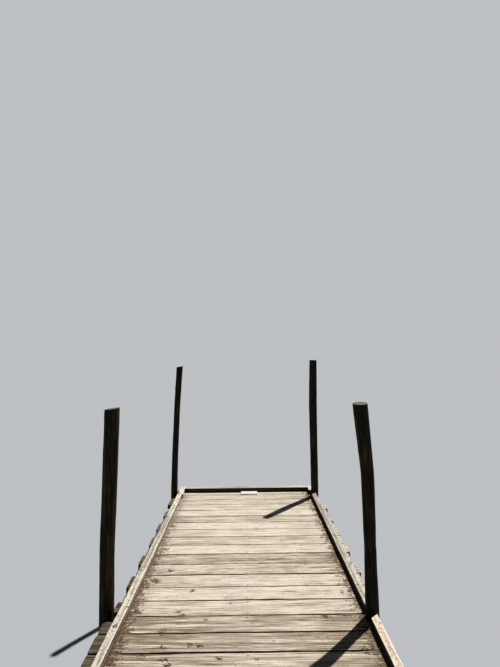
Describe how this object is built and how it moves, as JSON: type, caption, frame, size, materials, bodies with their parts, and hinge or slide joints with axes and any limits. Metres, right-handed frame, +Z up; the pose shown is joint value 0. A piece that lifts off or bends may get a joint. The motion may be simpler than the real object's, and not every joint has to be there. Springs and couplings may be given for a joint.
{
  "type": "wooden jetty",
  "caption": "Straight wooden lake jetty with a board deck, low edge kerbs and tall round piles that stand up past the deck.",
  "frame": {"origin": "middle of the footprint, level with the feet of the piles", "axes": "+X across the jetty, to the right when looking out over the lake; +Y from the shore to the lake end; +Z up"},
  "size_m": [1.8887, 11.538, 2.64],
  "materials": {
    "board_wood": "bleached, silver-grey sawn boards, bare",
    "kerb_wood": "bleached, knotty sawn timber, bare",
    "pile_wood": "dark, treated round wood with green algae",
    "beam_wood": "damp, dark sawn timber",
    "stringer_wood": "damp, grey-brown sawn timber",
    "white_plate": "plain white, satin"
  },
  "bodies": {
    "root": {"corner_block_left": "kerb_wood", "corner_block_right": "kerb_wood", "cross_beams_1": "beam_wood", "cross_beams_2": "beam_wood", "cross_beams_3": "beam_wood", "cross_beams_4": "beam_wood", "cross_beams_5": "beam_wood", "deck_boards_bay_1": "board_wood", "deck_boards_bay_2": "board_wood", "deck_boards_bay_3": "board_wood", "deck_boards_bay_4": "board_wood", "end_kerb": "kerb_wood", "kerb_left_1": "kerb_wood", "kerb_left_2": "kerb_wood", "kerb_left_3": "kerb_wood", "kerb_right_1": "kerb_wood", "kerb_right_2": "kerb_wood", "kerb_right_3": "kerb_wood", "kerb_right_4": "kerb_wood", "kerb_right_shore": "kerb_wood", "marker_plate": "white_plate", "pile_left_1": "pile_wood", "pile_left_2": "pile_wood", "pile_left_3": "pile_wood", "pile_left_4": "pile_wood", "pile_left_5": "pile_wood", "pile_right_1": "pile_wood", "pile_right_2": "pile_wood", "pile_right_3": "pile_wood", "pile_right_4": "pile_wood", "pile_right_5": "pile_wood", "stringer_left_1": "stringer_wood", "stringer_left_2": "stringer_wood", "stringer_middle_1": "stringer_wood", "stringer_middle_2": "stringer_wood", "stringer_right_1": "stringer_wood", "stringer_right_2": "stringer_wood"}
  },
  "joints": []
}
